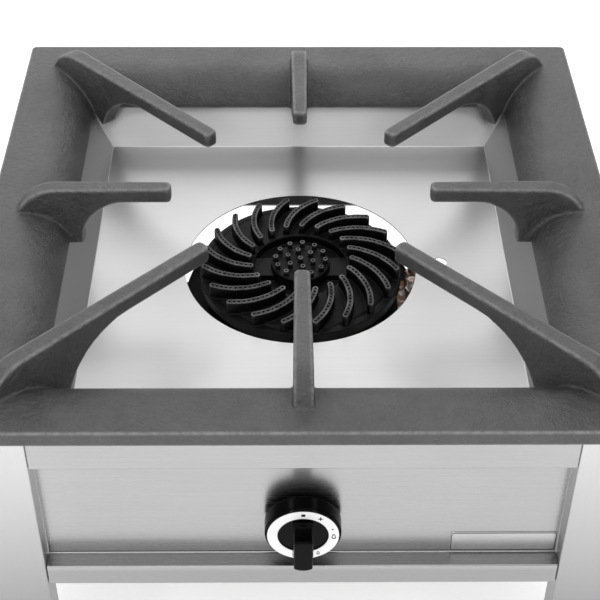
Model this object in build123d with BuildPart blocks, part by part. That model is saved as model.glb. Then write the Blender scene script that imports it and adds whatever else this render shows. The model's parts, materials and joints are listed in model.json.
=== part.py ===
from build123d import *
import math
import os

# Free-standing gas stock-pot burner: a square cast-iron pan support over a stainless spill tray,
# one large burner, and an open-bottomed stainless body on four corner posts.
# Origin on the floor under the centre, +Z up, the control knob towards -Y. Millimetres.

# ---- driving dimensions ----------------------------------------------------------------------
SIZE = 580.0  # pan support, square in plan
HEIGHT = 400.0  # floor to the tops of the prongs
PRONG_RISE = 25.5  # prong tops above the rim's land
BODY_WIDTH = 574.0  # stainless body, square in plan
BODY_DROP = 192.0  # rim's land to the bottom edge of the panels
POST_WIDTH = 66.5
GAUGE = 1.5  # body sheet
TRAY_GAUGE = 1.0
BEND = 1.6  # outside radius of a sheet fold

RIM_OUT = SIZE / 2
RIM_TOP = HEIGHT - PRONG_RISE
RIM_EDGE = 15.0  # height of the outer edge
RIM_WALL = 8.0
RIM_SKIRT = 8.0
LAND_IN = 257.0  # the flat land ends here and rolls over
RIM_IN = 217.5  # half the pan support's opening
ROLL_DROP = 28.0  # rim's land to the upper edge of its lip
LIP_DROP = 33.0
LIP_WALL = 4.5

PRONG_TIP = 120.0  # radius of the circle of prong tips
PRONG_TIP_WIDTH = 14.0
PRONG_ROOT_WIDTH = 17.4
PRONG_DEPTH = 15.0
PRONG_ROOT_RUN = 38.0  # length of the rounded shoulder down to the land
PRONG_SOFT = 2.2
PRONG_FOOT_DROP = 36.5  # rim's land to the flat end of a side prong's foot
PRONG_SPIKE_DROP = 40.5  # and to the point of a corner prong's foot
SIDE_REACH = 264.0
CORNER_REACH = 362.0
SIDE_FOOT_IN = 204.5
CORNER_FOOT_IN = 283.0
SIDE_ARCH = 41.5  # length of the arch under the bar where it turns down into the foot
CORNER_ARCH = 67.0

TRAY_FLOOR_DROP = 70.0
TRAY_FLOOR = 199.5  # half the flat floor
TRAY_WALL_ANGLE = 52.7
TRAY_FLANGE = 286.0
TRAY_HOLE_R = 111.6
LIGHT_HOLE = (135.0, 4.0, 7.0)  # small hole for a lighting taper: x, y, radius

BODY_HALF = BODY_WIDTH / 2
TRAY_TOP = RIM_TOP - RIM_EDGE
BODY_TOP = TRAY_TOP - TRAY_GAUGE
BODY_BOTTOM = RIM_TOP - BODY_DROP
RAIL_BOTTOM = RIM_TOP - 45.0
LEDGE = RIM_TOP - 168.5
FASCIA_SET = 16.0  # the control panel stands back from the posts by this much
FASCIA_Y = -BODY_HALF + FASCIA_SET
PANEL_HALF = BODY_HALF - POST_WIDTH - 1.0  # panels stop 1 mm short of the posts
RETURN = 32.0  # inward fold along the bottom of the panels
POST_LIP = 23.0
FRAME_IN = 252.0
FRAME_DROP = 25.0

FOOT_HEIGHT = 18.0
FOOT_AT = BODY_HALF - POST_WIDTH / 2
FOOT_R = 20.0
STUD_R = 5.0
RUNNING = 0.06  # radial clearance of sliding and turning fits

HEAD_DROP = 73.3  # rim's land to the burner head's outer edge
HEAD_R = 97.4
HEAD_SEAT = RIM_TOP - 84.0
GUTTER_R = 90.0  # shallow groove that runs round just inside the head's edge
ARM_COUNT = 20
ARM_WIDTH = 5.6
ARM_R = 60.0
ARM_START = 49.7
ARM_LEAN = 24.0  # the arm's angle off the radius at its inner end
ARM_SWEEP = 52.0
ARM_PHASE = -2.2
ARM_TOP_IN = 58.3  # drops from the rim's land to the arm tops, inner and outer end
ARM_TOP_OUT = 60.2
PORT_COUNT = 13
PORT_R = 1.15
RECESS_R = 45.0
RECESS_DROP = 78.5
PAD_DROP = 72.0  # tops of the two pads that bridge the recess
PAD_WIDTH = 27.2
INSERT_R = 28.0
INSERT_DROP = 66.5
NIPPLE_R = 2.35
NIPPLE_BORE_R = 1.3
NIPPLE_HEIGHT = 6.4
INSERT_PORTS = ((12, 24.0, -5.0), (6, 12.8, -20.0), (1, 0.0, 0.0))  # count, circle, angle

GAS_Z = RIM_TOP - 121.0  # height of the gas line, tap and knob
BOWL_R = 92.0
BOWL_FLOOR_R = 80.0
BOWL_BOTTOM = 228.0
BOWL_WALL = 5.0
BOWL_FLANGE_R = 112.0
BOWL_FLANGE_TOP = 270.0
BOWL_FLANGE = 4.0
MIXER_FLANGE_Y = -98.0
MIXER_MOUTH_Y = -184.0
MIXER_MOUTH_R = 24.1
MIXER_FLANGE_R = 30.0
CROSSBAR_AT = 50.0

KNOB_R = 32.5
KNOB_BACK_Y = FASCIA_Y - 5.5
KNOB_FACE_Y = FASCIA_Y - 21.0
HANDLE_OUT = 23.5
HANDLE_WIDTH = 17.0
HANDLE_TOP = 19.0
HANDLE_BOTTOM = -16.0
KNOB_TRAVEL = 4.0  # how far the knob pushes in
DIAL_OUT_R = 30.0
DIAL_IN_R = 21.5
SPINDLE_R = 4.0
CHAMBER_R = 8.0
PLUG_R = 6.0
ROD_R = 2.5

INLET_X = -150.0
INLET_OUT = KNOB_FACE_Y - HANDLE_OUT  # the inlet stands out behind as far as the knob in front
THREAD_R = 10.48  # G 1/2
THREAD_LENGTH = 14.5
GAS_PIPE_R = 7.5


def keep(part, label):
    """Names a finished piece and writes it to its own file."""
    part.label = label
    export_step(part, f"parts/{label}.step")


def front_plane(y):
    """A plane facing the user, centred on the gas line."""
    return Plane((0, y, GAS_Z), x_dir=(1, 0, 0), z_dir=(0, -1, 0))


def folded_section(path, gauge, side):
    """The section of a folded sheet whose visible face follows the path."""
    with BuildSketch() as section:
        with BuildLine():
            FilletPolyline(*path, radius=BEND)
            offset(amount=gauge, side=side)
        make_face()
    return section.sketch


def folded_sheet(path, plane, width, side, gauge=GAUGE):
    """A folded sheet, as wide as given, centred on the plane."""
    with BuildPart() as sheet:
        with BuildSketch(plane):
            add(folded_section(path, gauge, side))
        extrude(amount=width / 2, both=True)
    return sheet.part


def square_ring(section):
    """Four mitred bars that close a square; the section is (half-width, height)."""
    with BuildPart() as bar:
        with BuildSketch(Plane.XZ):
            add(section)
        extrude(amount=SIZE, both=True)
        with BuildSketch():
            with BuildLine():
                Polyline((0, 0), (SIZE, -SIZE), (SIZE, SIZE), close=True)
            make_face()
        extrude(amount=SIZE, mode=Mode.INTERSECT)
    with BuildPart() as ring:
        with PolarLocations(0, 4):
            add(bar.part)
    return ring.part


def turned(*outline):
    """A solid turned about the gas line; the outline is (place along Y, radius)."""
    with BuildPart() as piece:
        with BuildSketch(Plane.YZ):
            with BuildLine():
                Polyline(*[(y, GAS_Z + r) for y, r in outline], close=True)
            make_face()
        revolve(axis=Axis((0, 0, GAS_Z), (0, 1, 0)))
    return piece.part


def lathed(*outline):
    """A solid turned about the vertical centre line; the outline is (radius, height)."""
    with BuildPart() as piece:
        with BuildSketch(Plane.XZ):
            with BuildLine():
                Polyline(*outline, close=True)
            make_face()
        revolve(axis=Axis.Z)
    return piece.part


def hex_bar(y_back, y_front, flats):
    """A hexagon on the gas line between two places along Y."""
    with BuildPart() as piece:
        with BuildSketch(front_plane(y_back)):
            RegularPolygon(flats / 2, 6, major_radius=False)
        extrude(amount=y_back - y_front)
    return piece.part


def bent_tube(route, bend, outer, inner):
    """A tube along straight runs joined by equal bends."""
    with BuildPart() as tube:
        with BuildLine() as line:
            FilletPolyline(*route, radius=bend)
        start = Plane(origin=line.line @ 0, z_dir=line.line % 0)
        with BuildSketch(start):
            Circle(outer)
            Circle(inner, mode=Mode.SUBTRACT)
        sweep(path=line.line)
    return tube.part


os.makedirs("parts", exist_ok=True)


# ---- pan support -----------------------------------------------------------------------------
def rim_section():
    """Flat land, rolled inner shoulder and a short vertical lip, open underneath."""
    lip_out = RIM_IN + LIP_WALL
    skirt_in = RIM_OUT - RIM_SKIRT
    under = RIM_TOP - RIM_WALL
    with BuildSketch() as section:
        with BuildLine():
            roll = TangentArc((LAND_IN, RIM_TOP), (RIM_IN, RIM_TOP - ROLL_DROP), tangent=(-1, 0))
            Polyline(roll @ 1, (RIM_IN, RIM_TOP - LIP_DROP), (lip_out, RIM_TOP - LIP_DROP))
            TangentArc((LAND_IN, under), (lip_out, RIM_TOP - LIP_DROP), tangent=(-1, 0))
            Polyline(
                (LAND_IN, under),
                (skirt_in, under),
                (skirt_in, TRAY_TOP),
                (RIM_OUT, TRAY_TOP),
                (RIM_OUT, RIM_TOP),
                (LAND_IN, RIM_TOP),
            )
        make_face()
    return section.sketch


def below_rim_section():
    """Everything under the middle of the rim's wall, which a prong must not fill."""
    wall_middle = RIM_IN + 1.5
    start = (LAND_IN, RIM_TOP - RIM_WALL / 2)
    end = (wall_middle, RIM_TOP - LIP_DROP + 2.0)
    with BuildSketch() as section:
        with BuildLine():
            TangentArc(start, end, tangent=(-1, 0))
            Polyline(end, (wall_middle, 0), (SIZE, 0), (SIZE, start[1]), start)
        make_face()
    return section.sketch


def side_foot():
    """The flat-ended foot of a side prong, from the rim inwards."""
    end = RIM_TOP - PRONG_FOOT_DROP
    return (SIDE_REACH, RIM_TOP), (SIDE_REACH, end), (SIDE_FOOT_IN, end), (SIDE_FOOT_IN, end + 5.5)


def corner_foot():
    """The pointed foot of a corner prong, which leaves a gap to the rim's lip."""
    point = RIM_TOP - PRONG_SPIKE_DROP
    joint = RIM_TOP - ROLL_DROP + 9.0
    return (
        (CORNER_REACH, RIM_TOP),
        (CORNER_REACH, joint),
        (CORNER_FOOT_IN + 24.0, joint),
        (CORNER_FOOT_IN + 5.0, point),
        (CORNER_FOOT_IN + 2.5, point),
        (CORNER_FOOT_IN, point + 4.5),
    )


def prong(reach, foot_outline, arch_run, turn):
    """One prong along +X: a bar with a rounded shoulder at its root, arched into its foot."""
    bar_bottom = HEIGHT - PRONG_DEPTH
    with BuildPart() as bar:
        with BuildSketch(Plane.XZ):
            with BuildLine():
                top = Line((PRONG_TIP, HEIGHT), (reach - PRONG_ROOT_RUN, HEIGHT))
                TangentArc(top @ 1, (reach, RIM_TOP), tangent=(1, 0))
                foot = Polyline(*foot_outline)
                arch_start = ((foot @ 1).X - arch_run, bar_bottom)
                arch = TangentArc(arch_start, foot @ 1, tangent=(1, 0))
                Polyline(arch @ 0, (PRONG_TIP, bar_bottom), top @ 0)
            make_face()
        extrude(amount=PRONG_ROOT_WIDTH, both=True)
        with BuildSketch() as plan:
            with BuildLine():
                Polyline(
                    (PRONG_TIP, PRONG_TIP_WIDTH / 2),
                    (PRONG_TIP, -PRONG_TIP_WIDTH / 2),
                    (reach, -PRONG_ROOT_WIDTH / 2),
                    (reach, PRONG_ROOT_WIDTH / 2),
                    close=True,
                )
            make_face()
            fillet(plan.vertices().group_by(Axis.X)[0], radius=PRONG_TIP_WIDTH * 0.33)
        extrude(amount=HEIGHT, mode=Mode.INTERSECT)
        top_edges = bar.faces().sort_by(Axis.Z)[-1].edges()
        fillet(top_edges.filter_by(lambda e: e.center().X < reach - PRONG_ROOT_RUN - 1), PRONG_SOFT)
    return bar.part.rotate(Axis.Z, turn)


rim = square_ring(rim_section())
below_rim = square_ring(below_rim_section())

with BuildPart() as prongs:
    with PolarLocations(0, 4):
        add(prong(SIDE_REACH, side_foot(), SIDE_ARCH, 0))
        add(prong(CORNER_REACH, corner_foot(), CORNER_ARCH, 45))
    add(below_rim, mode=Mode.SUBTRACT)

with BuildPart() as pan_support:
    add(rim)
    upright = pan_support.edges().filter_by(Axis.Z)
    fillet(upright.group_by(lambda e: round(e.center().length))[-1], radius=5.0)
    add(prongs.part)
keep(pan_support.part, "pan_support")

# ---- spill tray ------------------------------------------------------------------------------
tray_floor_z = RIM_TOP - TRAY_FLOOR_DROP
tray_mouth = TRAY_FLOOR + (TRAY_TOP - tray_floor_z) / math.tan(math.radians(TRAY_WALL_ANGLE))
tray_path = (
    (0, tray_floor_z),
    (TRAY_FLOOR, tray_floor_z),
    (tray_mouth, TRAY_TOP),
    (TRAY_FLANGE, TRAY_TOP),
)
with BuildPart() as spill_tray:
    add(square_ring(folded_section(tray_path, TRAY_GAUGE, Side.RIGHT)))
    with BuildSketch():
        Circle(TRAY_HOLE_R)
        with Locations(LIGHT_HOLE[:2]):
            Circle(LIGHT_HOLE[2])
    extrude(amount=HEIGHT, mode=Mode.SUBTRACT)
keep(spill_tray.part, "spill_tray")

# ---- burner head -----------------------------------------------------------------------------
HEAD_EDGE = RIM_TOP - HEAD_DROP
RECESS_Z = RIM_TOP - RECESS_DROP
PAD_Z = RIM_TOP - PAD_DROP


def burner_arm():
    """One curved arm with a row of ports, its top falling outwards, starting on +X."""
    heading = math.radians(-ARM_LEAN - 90)
    centre = Vector(ARM_START + ARM_R * math.cos(heading), ARM_R * math.sin(heading))
    first = 90 - ARM_LEAN
    foot = HEAD_EDGE - 2.0
    beyond = HEAD_R + 10.0
    with BuildPart() as arm:
        with BuildSketch(Plane.XY.offset(foot)):
            with BuildLine(mode=Mode.PRIVATE):
                spine = CenterArc(centre, ARM_R, first, -ARM_SWEEP)
            SlotArc(spine, ARM_WIDTH)
        extrude(amount=RIM_TOP - ARM_TOP_IN + 2.0 - foot)
        end_r = (spine @ 1).length
        inner_top = RIM_TOP - ARM_TOP_IN
        outer_top = RIM_TOP - ARM_TOP_OUT
        with BuildSketch(Plane.XZ):
            with BuildLine():
                Polyline(
                    (0, inner_top),
                    (ARM_START, inner_top),
                    (end_r, outer_top),
                    (beyond, outer_top),
                    (beyond, RIM_TOP),
                    (0, RIM_TOP),
                    close=True,
                )
            make_face()
        revolve(axis=Axis.Z, mode=Mode.SUBTRACT)
        with BuildSketch(Plane.XY.offset(outer_top - 4.0)):
            with Locations(*[spine @ (i / (PORT_COUNT - 1)) for i in range(PORT_COUNT)]):
                Circle(PORT_R)
        extrude(amount=RIM_TOP, mode=Mode.SUBTRACT)
    return arm.part


arm_ported = burner_arm()
spigot_r = BOWL_R - 4.5
with BuildPart() as burner_head:
    add(
        lathed(
            (0, RECESS_Z),
            (RECESS_R, RECESS_Z),
            (RECESS_R, HEAD_EDGE + 3.8),
            (GUTTER_R - 1.5, HEAD_EDGE + 1.0),
            (GUTTER_R, HEAD_EDGE - 0.8),
            (GUTTER_R + 1.5, HEAD_EDGE),
            (HEAD_R, HEAD_EDGE),
            (HEAD_R, HEAD_SEAT),
            (spigot_r, HEAD_SEAT),
            (spigot_r, HEAD_SEAT - 4.0),
            (spigot_r - 4.5, HEAD_SEAT - 4.0),
            (spigot_r - 7.5, HEAD_SEAT + 0.5),
            (0, HEAD_SEAT + 2.5),
        )
    )
    with PolarLocations(0, ARM_COUNT, start_angle=ARM_PHASE):
        add(arm_ported)
    with BuildSketch(Plane.XY.offset(RECESS_Z)):
        Rectangle(2 * RECESS_R, PAD_WIDTH)
        Circle(INSERT_R - 2.0, mode=Mode.SUBTRACT)
    extrude(amount=PAD_Z - RECESS_Z)
    with BuildSketch(Plane.XY.offset(RECESS_Z)):
        Circle(INSERT_R)
    extrude(amount=HEAD_DROP, mode=Mode.SUBTRACT)
    with BuildSketch(Plane.XY.offset(RECESS_Z)):
        Circle(8.0)
    extrude(amount=-HEAD_DROP, mode=Mode.SUBTRACT)
keep(burner_head.part, "burner_head")

insert_top = RIM_TOP - INSERT_DROP
with BuildPart() as centre_insert:
    add(
        lathed(
            (0, RECESS_Z - 7.5),
            (7.9, RECESS_Z - 7.5),
            (7.9, RECESS_Z),
            (INSERT_R - 0.1, RECESS_Z),
            (INSERT_R - 0.1, insert_top - 0.7),
            (INSERT_R - 0.8, insert_top),
            (0, insert_top),
        )
    )
    for count, circle_r, first_angle in INSERT_PORTS:
        with BuildSketch(Plane.XY.offset(insert_top)):
            with PolarLocations(circle_r, count, start_angle=first_angle):
                Circle(NIPPLE_R)
        extrude(amount=NIPPLE_HEIGHT)
    for count, circle_r, first_angle in INSERT_PORTS:
        with BuildSketch(Plane.XY.offset(insert_top - 3.0)):
            with PolarLocations(circle_r, count, start_angle=first_angle):
                Circle(NIPPLE_BORE_R)
        extrude(amount=NIPPLE_HEIGHT + 5.0, mode=Mode.SUBTRACT)
keep(centre_insert.part, "centre_insert")

# ---- burner bowl and mixer -------------------------------------------------------------------
PILOT = (107.5, -15.0)
PILOT_BODY_R = 4.0
SENSOR = (108.0, 10.0)
SENSOR_R = 2.5
BRACKET_SCREW = (98.5, 4.0)
BRACKET_SCREW_R = 2.0
bowl_feet = {"x_spacing": 80.0, "y_spacing": 2 * CROSSBAR_AT, "x_count": 2, "y_count": 2}
bowl_socket_r = BOWL_R - 4.4

with BuildPart() as burner_bowl:
    add(
        lathed(
            (0, BOWL_BOTTOM),
            (BOWL_FLOOR_R, BOWL_BOTTOM),
            (BOWL_R, BOWL_BOTTOM + 30.0),
            (BOWL_R, HEAD_SEAT),
            (bowl_socket_r, HEAD_SEAT),
            (bowl_socket_r, HEAD_SEAT - 6.0),
            (BOWL_R - BOWL_WALL - 5.0, HEAD_SEAT - 12.0),
            (BOWL_R - BOWL_WALL - 5.0, BOWL_BOTTOM + 30.0),
            (BOWL_FLOOR_R - BOWL_WALL, BOWL_BOTTOM + BOWL_WALL),
            (0, BOWL_BOTTOM + BOWL_WALL),
        )
    )
    add(turned((MIXER_FLANGE_Y, 0), (MIXER_FLANGE_Y, 24.0), (-70.0, 24.0), (-70.0, 0)))
    throat = turned((MIXER_FLANGE_Y, 0), (MIXER_FLANGE_Y, 16.0), (-60.0, 16.0), (-60.0, 0))
    add(throat, mode=Mode.SUBTRACT)
    with BuildSketch(Plane.XY.offset(BOWL_BOTTOM)):
        with GridLocations(*bowl_feet.values()):
            Circle(7.0)
    extrude(amount=14.0)
    with BuildSketch(Plane.XY.offset(BOWL_BOTTOM)):
        with GridLocations(*bowl_feet.values()):
            Circle(3.0)
    extrude(amount=10.0, mode=Mode.SUBTRACT)
    with BuildSketch(Plane.XY.offset(BOWL_FLANGE_TOP)):
        Circle(BOWL_FLANGE_R)
        Circle(BOWL_R - 1.0, mode=Mode.SUBTRACT)
        with Locations((0, MIXER_FLANGE_Y - MIXER_FLANGE_R)):
            Rectangle(2 * MIXER_FLANGE_R + 8.0, 2 * MIXER_FLANGE_R + 10.0, mode=Mode.SUBTRACT)
        with Locations(PILOT):
            Circle(PILOT_BODY_R + 2.0, mode=Mode.SUBTRACT)
        with Locations(SENSOR):
            Circle(SENSOR_R + 2.0, mode=Mode.SUBTRACT)
        with Locations(BRACKET_SCREW):
            Circle(BRACKET_SCREW_R + 0.05, mode=Mode.SUBTRACT)
    extrude(amount=-BOWL_FLANGE)
keep(burner_bowl.part, "burner_bowl")

with BuildPart() as mixer_tube:
    add(
        turned(
            (MIXER_FLANGE_Y, 16.0),
            (MIXER_FLANGE_Y, MIXER_FLANGE_R),
            (MIXER_FLANGE_Y - 5.0, MIXER_FLANGE_R),
            (MIXER_FLANGE_Y - 5.0, 20.5),
            (-122.0, 17.5),
            (-138.0, 17.5),
            (-156.0, MIXER_MOUTH_R),
            (MIXER_MOUTH_Y, MIXER_MOUTH_R),
            (MIXER_MOUTH_Y, 20.5),
            (-140.0, 13.0),
            (-122.0, 13.0),
        )
    )
keep(mixer_tube.part, "mixer_tube")

SHUTTER_WALL_Y = MIXER_MOUTH_Y - 3.0  # stands 3 mm open
with BuildPart() as air_shutter:
    inner = MIXER_MOUTH_R + RUNNING
    add(
        turned(
            (SHUTTER_WALL_Y, 7.0),
            (SHUTTER_WALL_Y, inner),
            (-166.0, inner),
            (-166.0, inner + GAUGE),
            (SHUTTER_WALL_Y - GAUGE, inner + GAUGE),
            (SHUTTER_WALL_Y - GAUGE, 7.0),
        )
    )
    with BuildSketch(Plane.XY.offset(GAS_Z)):
        with Locations((0, SHUTTER_WALL_Y + 5.5)):
            Rectangle(24.0, 8.0)
    extrude(amount=40.0, both=True, mode=Mode.SUBTRACT)
keep(air_shutter.part, "air_shutter")

# ---- injector and tap ------------------------------------------------------------------------
TAP_FRONT_Y = -262.0
TAP_BACK_Y = -218.0
CHAMBER_END_Y = -244.0
PLUG_END_Y = -224.0
ROD_FRONT_Y = -234.0
ROD_BACK_Y = -212.0
COLLAR = 4.0

with BuildPart() as injector:
    add(hex_bar(-193.5, -198.0, 10.0))
    add(turned((-198.0, 0), (-198.0, 5.0), (-203.0, 5.0), (-203.0, 0)))
    add(turned((-193.5, 0), (-193.5, 4.2), (-188.5, 3.4), (-188.0, 2.6), (-188.0, 0)))
    add(turned((-180.0, 0), (-180.0, 0.8), (-205.0, 0.8), (-205.0, 0)), mode=Mode.SUBTRACT)
keep(injector.part, "injector")

with BuildPart() as injector_holder:
    add(hex_bar(-198.0, -213.0, 19.0))
    add(turned((-190.0, 0), (-190.0, 5.0), (-203.0, 5.0), (-203.0, 0)), mode=Mode.SUBTRACT)
    add(turned((-203.0, 0), (-203.0, 2.0), (-205.0, 2.0), (-205.0, 0)), mode=Mode.SUBTRACT)
    add(turned((-205.0, 0), (-205.0, 7.0), (-215.0, 7.0), (-215.0, 0)), mode=Mode.SUBTRACT)
keep(injector_holder.part, "injector_holder")

with BuildPart() as tap_body:
    add(turned((TAP_FRONT_Y, 0), (TAP_FRONT_Y, 15.0), (TAP_BACK_Y, 15.0), (TAP_BACK_Y, 0)))
    add(turned((TAP_BACK_Y, 0), (TAP_BACK_Y, 7.0), (-205.0, 7.0), (-205.0, 0)))
    with BuildSketch(Plane((0, -245.0, GAS_Z), x_dir=(0, 1, 0), z_dir=(-1, 0, 0))):
        Circle(9.0)
    extrude(amount=32.0)
    with BuildSketch(Plane((0, -228.0, GAS_Z), x_dir=(0, 1, 0), z_dir=(1, 0, 0))):
        Circle(5.0)
    extrude(amount=25.0)
    with BuildSketch(Plane((0, -227.0, GAS_Z), x_dir=(1, 0, 0), z_dir=(0, 0, -1))):
        Circle(8.5)
    extrude(amount=21.0)
    bores = (
        (TAP_FRONT_Y - 8.0, CHAMBER_END_Y, CHAMBER_R),
        (CHAMBER_END_Y, PLUG_END_Y, PLUG_R + RUNNING),
        (PLUG_END_Y, -206.0, ROD_R + RUNNING),
        (-207.0, -204.0, 2.0),
    )
    for front, back, r in bores:
        add(turned((front, 0), (front, r), (back, r), (back, 0)), mode=Mode.SUBTRACT)
    with BuildSketch(Plane((-11.0, -245.0, GAS_Z), x_dir=(0, 1, 0), z_dir=(-1, 0, 0))):
        Circle(5.0)
    extrude(amount=30.0, mode=Mode.SUBTRACT)
keep(tap_body.part, "tap_body")

with BuildPart() as tap_bonnet:
    hole = SPINDLE_R + RUNNING
    add(turned((TAP_FRONT_Y, hole), (TAP_FRONT_Y, 15.0), (-266.0, 15.0), (-266.0, hole)))
    with BuildSketch(front_plane(TAP_FRONT_Y)):
        with Locations((11.3, 0), (-11.3, 0)):
            Circle(1.5)
    extrude(amount=4.0, mode=Mode.SUBTRACT)
keep(tap_bonnet.part, "tap_bonnet")

with BuildPart() as bonnet_screws:
    with BuildSketch(front_plane(-266.0)):
        with Locations((11.3, 0), (-11.3, 0)):
            Circle(2.7)
    extrude(amount=2.0)
    with BuildSketch(front_plane(TAP_FRONT_Y)):
        with Locations((11.3, 0), (-11.3, 0)):
            Circle(1.5)
    extrude(amount=4.0)
    with BuildSketch(front_plane(-268.0)):
        with Locations((11.3, 0), (-11.3, 0)):
            Rectangle(4.4, 0.8)
    extrude(amount=-1.0, mode=Mode.SUBTRACT)
keep(bonnet_screws.part, "bonnet_screws")

# The spindle carries the knob, slides in the plug and turns it through a flat tang.
with BuildPart() as tap_spindle:
    add(
        turned(
            (KNOB_FACE_Y - 10.0, 0),
            (KNOB_FACE_Y - 10.0, SPINDLE_R),
            (TAP_FRONT_Y, SPINDLE_R),
            (TAP_FRONT_Y, CHAMBER_R - RUNNING),
            (TAP_FRONT_Y + COLLAR, CHAMBER_R - RUNNING),
            (TAP_FRONT_Y + COLLAR, ROD_R),
            (ROD_FRONT_Y, ROD_R),
            (ROD_FRONT_Y, 0),
        )
    )
keep(tap_spindle.part, "tap_spindle")

with BuildPart() as tap_plug:
    add(
        turned(
            (CHAMBER_END_Y, ROD_R + RUNNING),
            (CHAMBER_END_Y, PLUG_R),
            (PLUG_END_Y - 0.3, PLUG_R),
            (PLUG_END_Y - 0.3, ROD_R + RUNNING),
        )
    )
keep(tap_plug.part, "tap_plug")

with BuildPart() as push_rod:
    add(turned((ROD_FRONT_Y, 0), (ROD_FRONT_Y, ROD_R), (ROD_BACK_Y, ROD_R), (ROD_BACK_Y, 0)))
keep(push_rod.part, "push_rod")

SPRING_TURNS = 6
SPRING_WIRE_R = 0.6
# The spring is drawn at its pushed-in length, against the plug end.
with BuildPart() as tap_spring:
    spring_front = TAP_FRONT_Y + COLLAR + KNOB_TRAVEL + 0.2 + SPRING_WIRE_R
    spring_length = CHAMBER_END_Y - SPRING_WIRE_R - spring_front
    with BuildLine():
        Helix(
            pitch=spring_length / SPRING_TURNS,
            height=spring_length,
            radius=6.0,
            center=(0, spring_front, GAS_Z),
            direction=(0, 1, 0),
        )
    coil = tap_spring.pending_edges[0]
    with BuildSketch(Plane(origin=coil @ 0, z_dir=coil % 0)):
        Circle(SPRING_WIRE_R)
    sweep(is_frenet=True)
keep(tap_spring.part, "tap_spring")

with BuildPart() as magnet_unit:
    with BuildSketch(Plane((0, -227.0, GAS_Z - 21.0), x_dir=(1, 0, 0), z_dir=(0, 0, -1))):
        RegularPolygon(9.5, 6, major_radius=False)
    extrude(amount=8.0)
    with BuildSketch(Plane((0, -227.0, GAS_Z - 29.0), x_dir=(1, 0, 0), z_dir=(0, 0, -1))):
        Circle(7.5)
    extrude(amount=10.0)
keep(magnet_unit.part, "magnet_unit")

# ---- knob ------------------------------------------------------------------------------------
with BuildPart() as knob:
    hub = SPINDLE_R + 0.02
    add(
        turned(
            (KNOB_BACK_Y, 0),
            (KNOB_BACK_Y, KNOB_R - 0.8),
            (KNOB_BACK_Y - 1.0, KNOB_R),
            (KNOB_FACE_Y + 2.0, KNOB_R - 0.3),
            (KNOB_FACE_Y, KNOB_R - 1.8),
            (KNOB_FACE_Y, DIAL_IN_R),
            (KNOB_FACE_Y + 1.0, DIAL_IN_R - 0.6),
            (KNOB_FACE_Y + 1.0, 0),
        )
    )
    with BuildSketch(front_plane(KNOB_FACE_Y + 1.0)) as handle:
        with BuildLine():
            Polyline(
                (-HANDLE_WIDTH / 2, HANDLE_BOTTOM),
                (-HANDLE_WIDTH / 2, HANDLE_TOP),
                (HANDLE_WIDTH / 2, HANDLE_TOP),
                (HANDLE_WIDTH / 2, HANDLE_BOTTOM),
            )
            RadiusArc((HANDLE_WIDTH / 2, HANDLE_BOTTOM), (-HANDLE_WIDTH / 2, HANDLE_BOTTOM), 14.0)
        make_face()
        fillet(handle.vertices().group_by(Axis.Y)[-1], radius=2.5)
    extrude(amount=HANDLE_OUT + 1.0, taper=1.5)
    fillet(knob.faces().sort_by(Axis.Y)[0].edges(), radius=1.2)
    with BuildSketch(front_plane(KNOB_BACK_Y)):
        Circle(hub)
    extrude(amount=KNOB_BACK_Y - KNOB_FACE_Y + 10.0, mode=Mode.SUBTRACT)
keep(knob.part, "knob")

with BuildPart() as dial_ring:
    with BuildSketch(front_plane(KNOB_FACE_Y)):
        Circle(DIAL_OUT_R)
        Circle(DIAL_IN_R, mode=Mode.SUBTRACT)
        with Locations((0, -22.0)):
            Rectangle(HANDLE_WIDTH + 0.6, 12.0, mode=Mode.SUBTRACT)
    extrude(amount=0.5)
keep(dial_ring.part, "dial_ring")

# ---- gas supply ------------------------------------------------------------------------------
inlet_back = -INLET_OUT
with BuildPart() as gas_inlet:
    thread_end = inlet_back - THREAD_LENGTH - 1.0
    axis_x = Plane((INLET_X, 0, GAS_Z), x_dir=(0, 1, 0), z_dir=(1, 0, 0))
    with BuildSketch(axis_x):
        with BuildLine():
            Polyline(
                (262.0, 5.5),
                (262.0, 11.8),
                (288.5, 11.8),
                (288.5, 9.4),
                (thread_end, 9.4),
                (thread_end, THREAD_R),
                (inlet_back - 1.0, THREAD_R),
                (inlet_back, THREAD_R - 1.0),
                (inlet_back, 5.5),
                close=True,
            )
        make_face()
    revolve(axis=Axis((INLET_X, 0, GAS_Z), (0, 1, 0)))
    with BuildSketch(Plane((INLET_X, 288.5, GAS_Z), x_dir=(-1, 0, 0), z_dir=(0, 1, 0))):
        RegularPolygon(15.0, 6, major_radius=False)
        Circle(9.0, mode=Mode.SUBTRACT)
    extrude(amount=9.5)
keep(gas_inlet.part, "gas_inlet")

with BuildPart() as inlet_locknut:
    inside_back = Plane((INLET_X, BODY_HALF - GAUGE, GAS_Z), x_dir=(1, 0, 0), z_dir=(0, -1, 0))
    with BuildSketch(inside_back):
        RegularPolygon(16.0, 6, major_radius=False)
        Circle(11.85, mode=Mode.SUBTRACT)
    extrude(amount=8.0)
keep(inlet_locknut.part, "inlet_locknut")

pipe_route = ((INLET_X, 262.0, GAS_Z), (INLET_X, -245.0, GAS_Z), (-32.0, -245.0, GAS_Z))
with BuildPart() as gas_pipe:
    add(bent_tube(pipe_route, 40.0, GAS_PIPE_R, 5.5))
keep(gas_pipe.part, "gas_pipe")

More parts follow.
